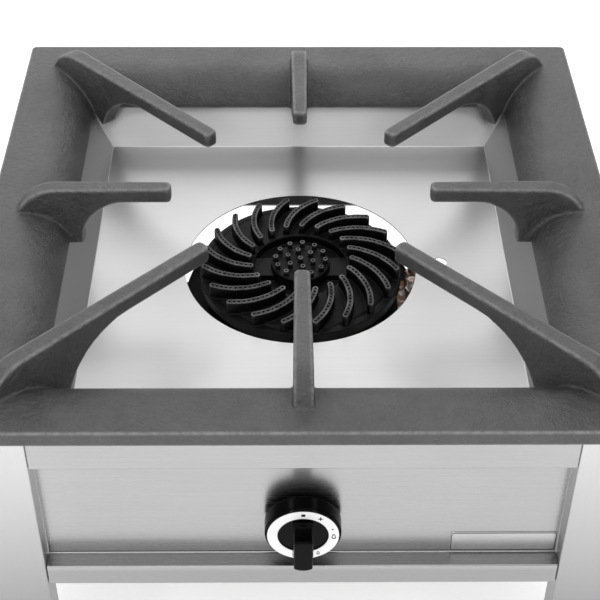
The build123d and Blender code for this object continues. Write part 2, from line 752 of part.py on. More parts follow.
with BuildPart() as pipe_nut:
    with BuildSketch(Plane((-24.0, -245.0, GAS_Z), x_dir=(0, 1, 0), z_dir=(-1, 0, 0))):
        RegularPolygon(12.0, 6, major_radius=False)
        Circle(9.05, mode=Mode.SUBTRACT)
    extrude(amount=8.0)
    with BuildSketch(Plane((-32.0, -245.0, GAS_Z), x_dir=(0, 1, 0), z_dir=(-1, 0, 0))):
        RegularPolygon(12.0, 6, major_radius=False)
        Circle(GAS_PIPE_R + 0.05, mode=Mode.SUBTRACT)
    extrude(amount=12.0)
keep(pipe_nut.part, "pipe_nut")

# ---- pilot and flame-failure sensor ----------------------------------------------------------
BRACKET_TOP = 283.0
BRACKET_PATH = (
    (94.5, BOWL_FLANGE_TOP + GAUGE),
    (103.5, BOWL_FLANGE_TOP + GAUGE),
    (103.5, BRACKET_TOP),
    (114.5, BRACKET_TOP),
)
PILOT_BOTTOM = 258.0
PILOT_TOP = 299.0
SENSOR_BOTTOM = 260.0
SENSOR_TOP = 301.0
with BuildPart() as pilot_bracket:
    add(folded_sheet(BRACKET_PATH, Plane.XZ.offset(6.5), 43.0, Side.RIGHT))
    with BuildSketch(Plane.XY.offset(BRACKET_TOP - 2.0)):
        with Locations(PILOT):
            Circle(PILOT_BODY_R + 0.05)
        with Locations(SENSOR):
            Circle(SENSOR_R + 0.05)
    extrude(amount=5.0, mode=Mode.SUBTRACT)
    with BuildSketch(Plane.XY.offset(BOWL_FLANGE_TOP - 1.0)):
        with Locations(PILOT):
            Circle(PILOT_BODY_R + 2.0)
        with Locations(SENSOR):
            Circle(SENSOR_R + 1.0)
    extrude(amount=BRACKET_TOP - GAUGE + 0.9 - BOWL_FLANGE_TOP, mode=Mode.SUBTRACT)
    with BuildSketch(Plane.XY.offset(BOWL_FLANGE_TOP - 1.0)):
        with Locations(BRACKET_SCREW):
            Circle(BRACKET_SCREW_R + 0.05)
    extrude(amount=5.0, mode=Mode.SUBTRACT)
keep(pilot_bracket.part, "pilot_bracket")

with BuildPart() as pilot_burner:
    with BuildSketch(Plane.XY.offset(PILOT_BOTTOM)):
        with Locations(PILOT):
            Circle(PILOT_BODY_R)
    extrude(amount=PILOT_TOP - PILOT_BOTTOM)
    with BuildSketch(Plane.XY.offset(BRACKET_TOP)):
        with Locations(PILOT):
            RegularPolygon(5.5, 6, major_radius=False)
    extrude(amount=5.0)
    slot = Plane((*PILOT, PILOT_TOP - 5.0), x_dir=(0, 1, 0), z_dir=(-1, 0, 0))
    with BuildSketch(slot):
        Rectangle(4.0, 3.0)
    extrude(amount=10.0, mode=Mode.SUBTRACT)
keep(pilot_burner.part, "pilot_burner")

with BuildPart() as thermocouple:
    with BuildSketch(Plane.XY.offset(SENSOR_BOTTOM)):
        with Locations(SENSOR):
            Circle(SENSOR_R)
    extrude(amount=SENSOR_TOP - SENSOR_BOTTOM)
    with BuildSketch(Plane.XY.offset(BRACKET_TOP)):
        with Locations(SENSOR):
            RegularPolygon(4.5, 6, major_radius=False)
    extrude(amount=5.0)
    fillet(thermocouple.faces().sort_by(Axis.Z)[-1].edges(), radius=2.0)
keep(thermocouple.part, "thermocouple")

pilot_route = (
    (*PILOT, PILOT_BOTTOM),
    (*PILOT, 205.0),
    (PILOT[0], -228.0, 205.0),
    (PILOT[0], -228.0, GAS_Z),
    (25.0, -228.0, GAS_Z),
)
with BuildPart() as pilot_tube:
    add(bent_tube(pilot_route, 12.0, 2.0, 1.2))
keep(pilot_tube.part, "pilot_tube")

sensor_route = (
    (*SENSOR, SENSOR_BOTTOM),
    (*SENSOR, 195.0),
    (SENSOR[0], -206.0, 195.0),
    (0.0, -227.0, 195.0),
    (0.0, -227.0, GAS_Z - 39.0),
)
with BuildPart() as thermocouple_lead:
    add(bent_tube(sensor_route, 8.0, 1.5, 0.6))
keep(thermocouple_lead.part, "thermocouple_lead")

# ---- body sheets -----------------------------------------------------------------------------
with BuildPart() as top_frame:
    edge = BODY_HALF - GAUGE
    path = ((FRAME_IN, BODY_TOP), (edge, BODY_TOP), (edge, BODY_TOP - FRAME_DROP))
    add(square_ring(folded_section(path, GAUGE, Side.RIGHT)))
    with BuildSketch() as outline:
        Rectangle(2 * edge, 2 * edge)
        chamfer(outline.vertices(), length=4.0)
    extrude(amount=HEIGHT, mode=Mode.INTERSECT)
keep(top_frame.part, "top_frame")

with BuildPart() as front_rail:
    path = ((-BODY_HALF, BODY_TOP), (-BODY_HALF, RAIL_BOTTOM), (FASCIA_Y, RAIL_BOTTOM))
    add(folded_sheet(path, Plane.YZ, 2 * PANEL_HALF, Side.LEFT))
keep(front_rail.part, "front_rail")

TAP_SCREWS_AT = ((12.0, -273.0), (-12.0, -273.0))
with BuildPart() as control_panel:
    path = (
        (FASCIA_Y, BODY_TOP - 10.0),
        (FASCIA_Y, LEDGE),
        (-BODY_HALF, LEDGE),
        (-BODY_HALF, BODY_BOTTOM),
        (-BODY_HALF + RETURN, BODY_BOTTOM),
    )
    add(folded_sheet(path, Plane.YZ, 2 * PANEL_HALF, Side.LEFT))
    with BuildSketch(front_plane(FASCIA_Y + 10.0)):
        Circle(SPINDLE_R + 2.0)
    extrude(amount=20.0, mode=Mode.SUBTRACT)
    with BuildSketch(Plane.XY.offset(BODY_BOTTOM - 1.0)):
        with Locations(*TAP_SCREWS_AT):
            Circle(2.05)
    extrude(amount=5.0, mode=Mode.SUBTRACT)
keep(control_panel.part, "control_panel")

PLATE = {"width": 92.0, "height": 24.0, "x": 173.0, "z": RIM_TOP - 154.7}
with BuildPart() as name_plate:
    with BuildSketch(front_plane(FASCIA_Y)):
        with Locations((PLATE["x"], PLATE["z"] - GAS_Z)):
            RectangleRounded(PLATE["width"], PLATE["height"], 3.0)
    extrude(amount=0.8)
    front = name_plate.faces().sort_by(Axis.Y)[0]
    chamfer(front.edges(), length=0.3)
keep(name_plate.part, "name_plate")

SIDE_PATH = ((BODY_HALF, BODY_TOP), (BODY_HALF, BODY_BOTTOM), (BODY_HALF - RETURN, BODY_BOTTOM))
CROSSBAR_SCREW_Z = 240.0
with BuildPart() as right_panel:
    add(folded_sheet(SIDE_PATH, Plane.XZ, 2 * PANEL_HALF, Side.RIGHT))
    with BuildSketch(Plane.YZ.offset(BODY_HALF - 3.0)):
        with Locations((CROSSBAR_AT, CROSSBAR_SCREW_Z), (-CROSSBAR_AT, CROSSBAR_SCREW_Z)):
            Circle(2.5)
    extrude(amount=6.0, mode=Mode.SUBTRACT)
keep(right_panel.part, "right_panel")

with BuildPart() as left_panel:
    add(mirror(right_panel.part, about=Plane.YZ, mode=Mode.PRIVATE))
keep(left_panel.part, "left_panel")

with BuildPart() as back_panel:
    add(folded_sheet(SIDE_PATH, Plane.YZ, 2 * PANEL_HALF, Side.RIGHT))
    with BuildSketch(Plane((INLET_X, BODY_HALF - 5.0, GAS_Z), x_dir=(-1, 0, 0), z_dir=(0, 1, 0))):
        Circle(12.0)
    extrude(amount=10.0, mode=Mode.SUBTRACT)
keep(back_panel.part, "back_panel")

# ---- corner posts and feet -------------------------------------------------------------------
inner_lip = BODY_HALF - POST_WIDTH
with BuildPart() as post:
    with BuildSketch(Plane.XY.offset(FOOT_HEIGHT)):
        path = (
            (inner_lip, -BODY_HALF + POST_LIP),
            (inner_lip, -BODY_HALF),
            (BODY_HALF, -BODY_HALF),
            (BODY_HALF, -inner_lip),
            (BODY_HALF - POST_LIP, -inner_lip),
        )
        add(folded_section(path, GAUGE, Side.LEFT))
    extrude(amount=BODY_TOP - FOOT_HEIGHT)
    with BuildSketch(Plane.XY.offset(BODY_TOP - FRAME_DROP - 1.0)):
        with BuildLine():
            inside = BODY_HALF - GAUGE
            Polyline((200, -200), (200, -inside), (inside, -inside), (inside, -200), close=True)
        make_face()
    extrude(amount=60.0, mode=Mode.SUBTRACT)

with BuildPart() as end_plate:
    with BuildSketch(Plane.XY.offset(FOOT_HEIGHT)):
        with Locations((FOOT_AT, -FOOT_AT)):
            RectangleRounded(POST_WIDTH - 2 * GAUGE - 0.4, POST_WIDTH - 2 * GAUGE - 0.4, 2.0)
            Circle(STUD_R + RUNNING, mode=Mode.SUBTRACT)
    extrude(amount=8.0)

with BuildPart() as foot:
    with BuildSketch(Plane((FOOT_AT, -FOOT_AT, 0))):
        Circle(FOOT_R)
    extrude(amount=10.0)
    chamfer(foot.edges().group_by(Axis.Z)[-1], length=3.0)
    fillet(foot.edges().group_by(Axis.Z)[0], radius=1.0)
    with BuildSketch(Plane((FOOT_AT, -FOOT_AT, 10.0))):
        RegularPolygon(12.0, 6, major_radius=False)
    extrude(amount=FOOT_HEIGHT - 10.0)
    with BuildSketch(Plane((FOOT_AT, -FOOT_AT, FOOT_HEIGHT))):
        Circle(STUD_R)
    extrude(amount=38.0)
    chamfer(foot.faces().sort_by(Axis.Z)[-1].edges(), length=1.0)

CORNERS = {"front_right": (), "front_left": ("x",), "back_right": ("y",), "back_left": ("x", "y")}
FLIPS = {"x": Plane.YZ, "y": Plane.XZ}


def at_corner(part, flips):
    """The front-right piece mirrored to another corner."""
    for flip in flips:
        part = mirror(part, about=FLIPS[flip], mode=Mode.PRIVATE)
    return part


for corner, flips in CORNERS.items():
    with BuildPart() as corner_post:
        add(at_corner(post.part, flips))
    keep(corner_post.part, f"{corner}_post")
    with BuildPart() as corner_foot:
        add(at_corner(foot.part, flips))
    keep(corner_foot.part, f"{corner}_foot")

with BuildPart() as post_end_plates:
    for flips in CORNERS.values():
        add(at_corner(end_plate.part, flips))
keep(post_end_plates.part, "post_end_plates")

# ---- burner supports and fasteners -----------------------------------------------------------
TAB_TOP = 252.0
for label, y_place in (("front_crossbar", -CROSSBAR_AT), ("back_crossbar", CROSSBAR_AT)):
    with BuildPart() as crossbar:
        end = BODY_HALF - GAUGE
        web = BOWL_BOTTOM - GAUGE
        path = ((-end, TAB_TOP), (-end, web), (end, web), (end, TAB_TOP))
        with BuildSketch(Plane.XZ.offset(-y_place)):
            add(folded_section(path, GAUGE, Side.LEFT))
        extrude(amount=15.0, both=True)
        with BuildSketch(Plane.XY.offset(web)):
            with Locations((0, y_place + 14.25), (0, y_place - 14.25)):
                Rectangle(500.0, GAUGE)
        extrude(amount=-10.0)
        with BuildSketch(Plane.XY.offset(web - 1.0)):
            with Locations((40.0, y_place), (-40.0, y_place)):
                Circle(3.05)
        extrude(amount=5.0, mode=Mode.SUBTRACT)
        with BuildSketch(Plane.YZ.offset(-BODY_HALF)):
            with Locations((y_place, CROSSBAR_SCREW_Z)):
                Circle(2.5)
        extrude(amount=2 * BODY_HALF, mode=Mode.SUBTRACT)
    keep(crossbar.part, label)

with BuildPart() as bowl_screws:
    with BuildSketch(Plane.XY.offset(BOWL_BOTTOM - GAUGE)):
        with GridLocations(*bowl_feet.values()):
            RegularPolygon(5.0, 6, major_radius=False)
    extrude(amount=-4.0)
    with BuildSketch(Plane.XY.offset(BOWL_BOTTOM - GAUGE)):
        with GridLocations(*bowl_feet.values()):
            Circle(3.0)
    extrude(amount=10.0)
keep(bowl_screws.part, "bowl_screws")

with BuildPart() as crossbar_screws:
    for side in (1, -1):
        face = (side * BODY_HALF, 0, CROSSBAR_SCREW_Z)
        outward = Plane(face, x_dir=(0, 1, 0), z_dir=(side, 0, 0))
        with BuildSketch(outward):
            with Locations((CROSSBAR_AT, 0), (-CROSSBAR_AT, 0)):
                Circle(4.5)
        extrude(amount=2.2)
        with BuildSketch(outward):
            with Locations((CROSSBAR_AT, 0), (-CROSSBAR_AT, 0)):
                Circle(2.45)
        extrude(amount=-9.0)
    flats = crossbar_screws.faces().filter_by(Axis.X)
    heads = flats.group_by(lambda f: round(abs(f.center().X), 1))[-1]
    fillet(heads.edges(), radius=1.2)
    for side in (1, -1):
        with BuildSketch(Plane.YZ.offset(side * (BODY_HALF + 2.2))):
            with Locations((CROSSBAR_AT, CROSSBAR_SCREW_Z), (-CROSSBAR_AT, CROSSBAR_SCREW_Z)):
                Rectangle(5.0, 1.0)
                Rectangle(1.0, 5.0)
        extrude(amount=-side * 1.2, mode=Mode.SUBTRACT)
keep(crossbar_screws.part, "crossbar_screws")

with BuildPart() as mixer_screws:
    for x_place in (25.0, -25.0):
        with BuildSketch(front_plane(MIXER_FLANGE_Y - 5.0)):
            with Locations((x_place, 0)):
                RegularPolygon(4.0, 6, major_radius=False)
        extrude(amount=3.5)
keep(mixer_screws.part, "mixer_screws")

with BuildPart() as tap_bracket:
    foot_z = BODY_BOTTOM + GAUGE
    path = ((-257.0, GAS_Z + 20.0), (-257.0, foot_z), (-284.0, foot_z))
    add(folded_sheet(path, Plane.YZ, 40.0, Side.RIGHT))
    with BuildSketch(front_plane(-250.0)):
        Circle(15.05)
    extrude(amount=20.0, mode=Mode.SUBTRACT)
    with BuildSketch(Plane.XY.offset(BODY_BOTTOM)):
        with Locations(*TAP_SCREWS_AT):
            Circle(2.05)
    extrude(amount=6.0, mode=Mode.SUBTRACT)
keep(tap_bracket.part, "tap_bracket")

with BuildPart() as bracket_screws:
    with BuildSketch(Plane.XY.offset(BODY_BOTTOM)):
        with Locations(*TAP_SCREWS_AT):
            Circle(4.0)
    extrude(amount=-2.0)
    with BuildSketch(Plane.XY.offset(BODY_BOTTOM)):
        with Locations(*TAP_SCREWS_AT):
            Circle(2.0)
    extrude(amount=9.0)
keep(bracket_screws.part, "bracket_screws")

with BuildPart() as pilot_bracket_screw:
    with BuildSketch(Plane((*BRACKET_SCREW, BOWL_FLANGE_TOP + GAUGE))):
        Circle(3.6)
    extrude(amount=2.2)
    with BuildSketch(Plane((*BRACKET_SCREW, BOWL_FLANGE_TOP + GAUGE))):
        Circle(BRACKET_SCREW_R)
    extrude(amount=-GAUGE - BOWL_FLANGE)
keep(pilot_bracket_screw.part, "pilot_bracket_screw")
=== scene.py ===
"""Looks for the gas stock-pot burner: materials, softened castings, printed marks and studio."""

import json
import math

import bmesh
import bpy
from mathutils import Matrix, Vector


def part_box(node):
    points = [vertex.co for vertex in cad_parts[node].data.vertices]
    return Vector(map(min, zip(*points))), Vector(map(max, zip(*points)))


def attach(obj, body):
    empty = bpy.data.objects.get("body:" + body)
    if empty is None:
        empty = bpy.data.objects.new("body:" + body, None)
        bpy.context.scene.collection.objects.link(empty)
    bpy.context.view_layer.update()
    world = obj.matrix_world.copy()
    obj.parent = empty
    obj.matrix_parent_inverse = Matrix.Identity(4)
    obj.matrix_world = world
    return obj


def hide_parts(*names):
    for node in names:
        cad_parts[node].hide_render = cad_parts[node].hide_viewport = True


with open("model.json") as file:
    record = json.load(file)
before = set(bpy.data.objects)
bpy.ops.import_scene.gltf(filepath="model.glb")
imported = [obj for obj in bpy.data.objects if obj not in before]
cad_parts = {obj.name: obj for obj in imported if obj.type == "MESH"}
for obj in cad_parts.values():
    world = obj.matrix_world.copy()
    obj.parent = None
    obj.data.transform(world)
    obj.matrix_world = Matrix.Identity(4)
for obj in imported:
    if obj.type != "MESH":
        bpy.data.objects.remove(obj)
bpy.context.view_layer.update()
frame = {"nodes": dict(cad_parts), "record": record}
NODES = frame["nodes"]
FINISH_OF = {subpart["node"]: subpart["material_slot"] for subpart in frame["record"]["subparts"]}

# ---- the frame's own places, metres ----------------------------------------------------------
PAN_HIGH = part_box("pan_support")[1]
DIAL_LOW, DIAL_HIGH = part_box("dial_ring")
PLATE_LOW, PLATE_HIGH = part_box("name_plate")
PRONG_RISE = 0.0255
RIM_TOP = PAN_HIGH.z - PRONG_RISE
PORT_FACE_LOW = RIM_TOP - 0.0615
PORT_FACE_FADE = 0.0035

# Painted shade, darker towards the bottom of the sheet: its lower height, its upper height, and
# the brightness left at the lower one.
BODY_PAINTED_SHADE = (RIM_TOP - 0.175, RIM_TOP - 0.169, 0.78)
POST_PAINTED_SHADE = (RIM_TOP - 0.23, RIM_TOP - 0.02, 0.53)
# Painted shade in the ledge's inward fold: the height of its middle, and half its width.
LEDGE_FOLD = (RIM_TOP - 0.1671, 0.0006)

# ---- camera ----------------------------------------------------------------------------------
CAMERA_AT = Vector((-0.0133, -1.0408, RIM_TOP + 0.7923))
CAMERA_PITCH = math.radians(41.08)
CAMERA_PAN = math.radians(0.72)
CAMERA_ROLL = math.radians(0.38)
CAMERA_LENS = 83.73

# ---- studio, metres --------------------------------------------------------------------------
FLOOR_SIZE = 60.0
FLOOR_CELLS = 8
FLOOR_GLOW = 0.55
WORLD_GLOW = 0.66
# Each light's name, place, target, width, height and radiance.
SOFTBOXES = (
    ("overhead", (0.0, 0.1, 2.6), (0, 0.1, 0.3), 2.6, 2.4, 1.3),
    ("back_panel", (-0.4, 3.4, 2.0), (0, 0.2, 0.4), 3.6, 1.7, 2.6),
    ("front_fill", (-0.6, -2.4, 1.5), (0, 0, 0.25), 2.0, 1.0, 1.4),
    ("knob_kicker_left", (-1.1, -1.6, 1.9), (0, -0.2, 0.3), 0.25, 0.4, 14.0),
    ("knob_kicker_right", (1.1, -1.6, 1.9), (0, -0.2, 0.3), 0.25, 0.4, 10.0),
)

# ---- sizes of the features in the materials, metres ------------------------------------------
GRAIN_LENGTH = 0.11
GRAIN_WIDTH = 0.00055
GRAIN_RELIEF = 0.000006
SHEET_SMEAR = 0.13
CAST_GRAIN = 0.0021
CAST_PIT = CAST_GRAIN * 3.2
CAST_MOTTLE = 0.022
CAST_STAIN = 0.075
CAST_RELIEF = 0.0014
BURNER_GRAIN = 0.0009
BURNER_PATCH = 0.012
BURNER_RELIEF = 0.00015
METAL_GRAIN = 0.0016
METAL_PATCH = 0.014
METAL_RELIEF = 0.00003
SCORCH_GRAIN = 0.0012
SCORCH_PATCH = 0.007
SCORCH_RELIEF = 0.00004
PLASTIC_GRAIN = 0.0011
PLASTIC_WAVE = 0.018
PLASTIC_RELIEF = 0.00002
FLOOR_PATCH = 0.6

# ---- colours, and shares of a material's own brightness --------------------------------------
GRAIN_DARKER = 0.05
GRAIN_PALER = 0.04
SMEAR_TONE = 0.9
# Share of brightness left in the painted shade of the ledge's fold.
FOLD_SHADE_TONE = 0.25
CAST_WARMTH = -0.012
CAST_DARK_TONE = 0.55
CAST_PALE_TONE = 1.5
CAST_STAIN_TONE = 0.45
CAST_GLINT_TONE = 2.4
BURNER_DARKEST = 0.0008
BURNER_DARK = 0.003
PORT_FACE_GREY = 0.014
# Grey of the painted highlight, partly wear, on the port faces' edges.
PORT_EDGE_GREY = 0.2
METAL_STAIN_TONE = 0.62
PLASTIC_DARK_TONE = 0.8
PLASTIC_PALE_TONE = 1.3
FLOOR_DARK = 0.84
FLOOR_PALE = 0.88
BRASS = (0.62, 0.43, 0.17)
COPPER = (0.42, 0.22, 0.13)
SCORCH_DARK = (0.06, 0.028, 0.015)
SCORCH_BROWN = (0.26, 0.14, 0.08)
SCORCH_CHALK = (0.6, 0.58, 0.56)

# ---- the stretch that most of a noise's values lie in ----------------------------------------
MOST = (0.3, 0.7)

# ---- softened pieces: CAD node, name, voxel size in metres, smoothing passes, body -----------
CASTINGS = (
    ("pan_support", "pan_support_casting", 0.0011, 12, "pan_support"),
    ("burner_head", "burner_head_casting", 0.0007, 3, "burner_head"),
    ("centre_insert", "centre_insert_casting", 0.0005, 3, "burner_head"),
    ("knob", "knob_moulding", 0.0005, 7, "knob"),
)

# ---- printed marks, metres -------------------------------------------------------------------
PRINT_DEPTH = 0.00012
MARK_INSET = 0.0043
OFF_HALF_WIDTH = 0.0016
OFF_HALF_HEIGHT = 0.0014
OFF_RADIUS = 0.0003
SPARK_REACH = 0.0028
DOT_RADIUS = 0.0008
FLAME_HEIGHT = 0.0064
FLAME_HOLLOW = 0.62
LOW_FLAME_HEIGHT = 0.0046
LOW_FLAME_HOLLOW = 0.55
HOLLOW_DROP = 0.0001
BORDER_INSET = 0.0007
BORDER_WIDTH = 0.0006
BORDER_RADIUS = 0.0026

# ---- shader sockets that share a name, by their place in the Mix node ------------------------
MIX_FIRST_COLOUR = 6
MIX_SECOND_COLOUR = 7
MIX_RESULT_COLOUR = 2


# ---- node helpers ----------------------------------------------------------------------------
class Shader:
    """A material whose nodes are added by name and joined by their sockets."""

    def __init__(self, name, **principled):
        self.material = bpy.data.materials.new(name)
        self.material.use_nodes = True
        self.tree = self.material.node_tree
        self.surface = self.tree.nodes["Principled BSDF"]
        for socket, value in principled.items():
            self.surface.inputs[socket.replace("_", " ")].default_value = value
        self.place = None

    def node(self, kind, links=None, values=None, **settings):
        """A new node, with settings, socket values and links into its sockets."""
        made = self.tree.nodes.new(kind)
        for key, value in settings.items():
            setattr(made, key, value)
        for socket, value in (values or {}).items():
            made.inputs[socket].default_value = value
        for socket, source in (links or {}).items():
            self.tree.links.new(source, made.inputs[socket])
        return made

    def into(self, socket, source):
        """Links a source into the surface shader."""
        self.tree.links.new(source, self.surface.inputs[socket])

    def position(self):
        """Object coordinates, which are the frame's own metres."""
        if self.place is None:
            self.place = self.node("ShaderNodeTexCoord")
        return self.place.outputs["Object"]

    def height(self):
        """The height of the place in the frame."""
        parts = self.node("ShaderNodeSeparateXYZ", {"Vector": self.position()})
        return parts.outputs["Z"]

    def noise(self, size, detail=3.0, roughness=0.5, stretch=(1, 1, 1)):
        """Noise whose features are about size metres, stretched along the axes."""
        scale = [1 / (size * along) for along in stretch]
        mapped = self.node("ShaderNodeMapping", {"Vector": self.position()}, {"Scale": scale})
        values = {"Scale": 1.0, "Detail": detail, "Roughness": roughness}
        made = self.node("ShaderNodeTexNoise", {"Vector": mapped.outputs[0]}, values)
        return made.outputs["Fac"]

    def ramp(self, source, low, high, out_low=0.0, out_high=1.0):
        """Maps a value from one range to another, held at the ends."""
        values = {"From Min": low, "From Max": high, "To Min": out_low, "To Max": out_high}
        made = self.node("ShaderNodeMapRange", {"Value": source}, values, clamp=True)
        return made.outputs["Result"]

    def math(self, operation, first, second):
        """The result of an operation on two sockets or numbers."""
        terms = dict(enumerate((first, second)))
        values = {place: term for place, term in terms.items() if isinstance(term, (int, float))}
        links = {place: term for place, term in terms.items() if place not in values}
        return self.node("ShaderNodeMath", links, values, operation=operation).outputs[0]

    def blend(self, factor, first, second):
        """A colour between two colours, either of which may be a socket."""
        made = self.node("ShaderNodeMix", data_type="RGBA")
        self.tree.links.new(factor, made.inputs["Factor"])
        for place, colour in ((MIX_FIRST_COLOUR, first), (MIX_SECOND_COLOUR, second)):
            if isinstance(colour, tuple):
                made.inputs[place].default_value = (*colour, 1.0)
            else:
                self.tree.links.new(colour, made.inputs[place])
        return made.outputs[MIX_RESULT_COLOUR]

    def bump(self, height, distance, strength=1.0):
        """Bump of the given height in metres."""
        values = {"Distance": distance, "Strength": strength}
        return self.node("ShaderNodeBump", {"Height": height}, values).outputs["Normal"]

    def upward(self):
        """1 where the surface faces up."""
        geometry = self.node("ShaderNodeNewGeometry")
        parts = self.node("ShaderNodeSeparateXYZ", {"Vector": geometry.outputs["Normal"]})
        return parts.outputs["Z"]

    def edge_wear_and_highlight(self, low, high):
        """1 on the outward edges of a dense mesh, where paler edges are painted, partly wear and
        partly highlight.
        """
        geometry = self.node("ShaderNodeNewGeometry")
        return self.ramp(geometry.outputs["Pointiness"], low, high)


def grey(value, warmth=0.0):
    """A near-neutral colour."""
    return (value * (1 + warmth), value, value * (1 - warmth))


# ---- materials -------------------------------------------------------------------------------
def set_grain_direction(steel, axis):
    """Turns the drawn-out reflections to lie across an axis of the frame."""
    direction = [0.0, 0.0, 0.0]
    direction["xyz".index(axis)] = 1.0
    along = steel.node("ShaderNodeCombineXYZ", values=dict(enumerate(direction)))
    steel.into("Tangent", along.outputs[0])


def shaded_downwards(steel, tone, value, low, high, left):
    """Painted shade: the sheet grows darker downwards, between two heights."""
    amount = steel.ramp(steel.height(), low, high, 1.0, 0.0)
    return steel.blend(amount, tone, grey(value * left))


def shaded_fold(steel, tone, value, middle, half_width):
    """Painted shade darkens an inward fold at a height."""
    away = steel.math("ABSOLUTE", steel.math("SUBTRACT", steel.height(), middle), 0.0)
    fold_shade = steel.ramp(away, half_width * 0.8, half_width * 1.3, 1.0, 0.0)
    return steel.blend(fold_shade, tone, grey(value * FOLD_SHADE_TONE))


def brushed_steel(name, value, rough, axis, contrast=1.0, lower_shade=None, crease=None):
    """Brushed stainless sheet: grain along an axis, reflections drawn out across it.

    Its last two arguments hold what the painted shade downwards and the painted shade in the
    ledge's fold take after the value.
    """
    steel = Shader(name, Metallic=1.0, Anisotropic=0.6, Anisotropic_Rotation=0.25)
    set_grain_direction(steel, axis)
    stretch = [1.0, 1.0, 1.0]
    stretch["xyz".index(axis)] = GRAIN_LENGTH / GRAIN_WIDTH
    lines = steel.noise(GRAIN_WIDTH, detail=4.0, roughness=0.6, stretch=stretch)
    smear = steel.noise(SHEET_SMEAR, detail=3.0)
    dark_line = grey(value * (1 - GRAIN_DARKER * contrast))
    pale_line = grey(value * (1 + GRAIN_PALER * contrast))
    tone = steel.blend(steel.ramp(lines, *MOST), dark_line, pale_line)
    tone = steel.blend(steel.ramp(smear, 0.35, 0.7, 0.0, 0.3), tone, grey(value * SMEAR_TONE))
    # Painted shade: the sheet darkens towards its bottom.
    if lower_shade:
        tone = shaded_downwards(steel, tone, value, *lower_shade)
    # Painted shade: a dark band in the ledge's inward fold.
    if crease:
        tone = shaded_fold(steel, tone, value, *crease)
    steel.into("Base Color", tone)
    grain_rough = steel.ramp(lines, 0.25, 0.75, rough * 0.92, rough * 1.1)
    smear_rough = steel.ramp(smear, *MOST, -0.015, 0.03)
    steel.into("Roughness", steel.math("ADD", grain_rough, smear_rough))
    steel.into("Normal", steel.bump(lines, GRAIN_RELIEF, 0.4))
    return steel.material


def sand_cast(name, value, rough, edge):
    """Bare grey iron: stained in patches, sand-grained, paler along its edges, partly from wear
    and partly as a painted highlight.
    """
    iron = Shader(name, Metallic=0.0, Specular_IOR_Level=1.0)
    grain = iron.noise(CAST_GRAIN, detail=5.0, roughness=0.7)
    pits = iron.noise(CAST_PIT, detail=3.0, roughness=0.6)
    mottle = iron.noise(CAST_MOTTLE, detail=6.0, roughness=0.65)
    stain = iron.noise(CAST_STAIN, detail=3.0, roughness=0.5)
    dark_patch = grey(value * CAST_DARK_TONE, CAST_WARMTH)
    pale_patch = grey(value * CAST_PALE_TONE, CAST_WARMTH)
    stain_tone = grey(value * CAST_STAIN_TONE)
    glint_tone = grey(value * CAST_GLINT_TONE)
    tone = iron.blend(iron.ramp(mottle, 0.36, 0.64), dark_patch, pale_patch)
    tone = iron.blend(iron.ramp(stain, 0.5, 0.68, 0.0, 0.5), tone, stain_tone)
    tone = iron.blend(iron.ramp(grain, 0.5, 0.64, 0.0, 0.6), tone, glint_tone)
    # Painted highlight along the edges, broken up like rubbed wear.
    broken = iron.ramp(pits, 0.3, 0.6, 0.4, 1.0)
    worn_and_highlit = iron.math("MULTIPLY", iron.edge_wear_and_highlight(0.506, 0.54), broken)
    iron.into("Base Color", iron.blend(worn_and_highlit, tone, grey(edge)))
    patchy = iron.ramp(mottle, 0.32, 0.68, rough * 0.82, rough * 1.15)
    patchy = iron.math("ADD", patchy, iron.ramp(stain, 0.45, 0.7, 0.0, 0.12))
    iron.into("Roughness", iron.math("SUBTRACT", patchy, iron.math("MULTIPLY", worn_and_highlit, 0.1)))
    relief = iron.math("ADD", grain, iron.math("MULTIPLY", pits, 1.3))
    iron.into("Normal", iron.bump(relief, CAST_RELIEF))
    return iron.material


def burner_black(name):
    """Black burner casting, the edges of its port faces grey, partly rubbed wear and partly a
    painted highlight.
    """
    iron = Shader(name, Metallic=0.0, Specular_IOR_Level=0.12)
    grain = iron.noise(BURNER_GRAIN, detail=4.0, roughness=0.6)
    patch = iron.noise(BURNER_PATCH, detail=4.0)
    high = iron.ramp(iron.height(), PORT_FACE_LOW - PORT_FACE_FADE, PORT_FACE_LOW)
    facing = iron.ramp(iron.upward(), 0.2, 0.8, 0.25, 1.0)
    wear = iron.ramp(patch, 0.3, 0.62, 0.4, 1.0)
    flat = iron.math("MULTIPLY", iron.math("MULTIPLY", high, facing), wear)
    # Painted highlight on the port faces' edges, patchy like rubbed wear.
    edge = iron.math("MULTIPLY", iron.math("MULTIPLY", iron.edge_wear_and_highlight(0.51, 0.56), high), wear)
    tone = iron.blend(iron.ramp(patch, *MOST), grey(BURNER_DARKEST), grey(BURNER_DARK))
    tone = iron.blend(flat, tone, grey(PORT_FACE_GREY))
    iron.into("Base Color", iron.blend(edge, tone, grey(PORT_EDGE_GREY)))
    iron.into("Roughness", iron.ramp(grain, *MOST, 0.42, 0.6))
    iron.into("Normal", iron.bump(grain, BURNER_RELIEF, 0.6))
    return iron.material


def plain_metal(name, colour, rough, stain=0.25, metallic=1.0):
    """Machined or plated metal with handling stains."""
    metal = Shader(name, Metallic=metallic)
    grain = metal.noise(METAL_GRAIN, detail=4.0)
    patch = metal.noise(METAL_PATCH, detail=4.0)
    darker = tuple(channel * METAL_STAIN_TONE for channel in colour)
    metal.into("Base Color", metal.blend(metal.ramp(patch, 0.38, 0.7, 0.0, stain), colour, darker))
    metal.into("Roughness", metal.ramp(patch, *MOST, rough * 0.8, rough * 1.25))
    metal.into("Normal", metal.bump(grain, METAL_RELIEF, 0.4))
    return metal.material


